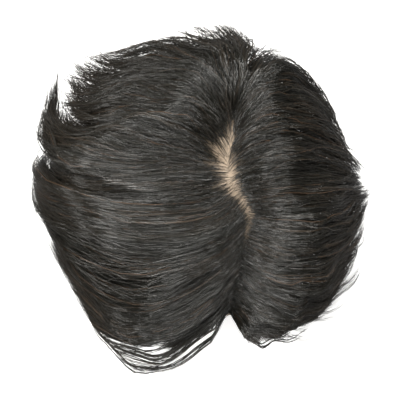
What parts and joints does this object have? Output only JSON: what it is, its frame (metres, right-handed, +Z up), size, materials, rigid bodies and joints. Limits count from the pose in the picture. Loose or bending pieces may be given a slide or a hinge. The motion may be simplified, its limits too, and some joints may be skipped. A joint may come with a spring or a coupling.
{
  "type": "real hair wig",
  "caption": "Short dark real hair wig with a side parting, a swept fringe and a skin-toned base, open below and arched for the face, that stands on its rim.",
  "frame": {"origin": "centre of the whole wig's box in plan, on the surface that its rim rests on", "axes": "+Z up, -Y towards the face and the fringe, +X to the short side of the parting"},
  "size_m": [0.2272, 0.236, 0.1227],
  "materials": {
    "scalp_skin": "matt fine net over a skin-toned film",
    "dark_hair": "satin natural hair, near black with brown strands"
  },
  "bodies": {
    "root": {"scalp_base": "scalp_skin", "under_hair": "dark_hair", "long_fringe": "dark_hair", "long_sweep": "dark_hair", "crown_hair": "dark_hair", "short_sweep": "dark_hair", "short_fringe": "dark_hair"}
  },
  "joints": []
}
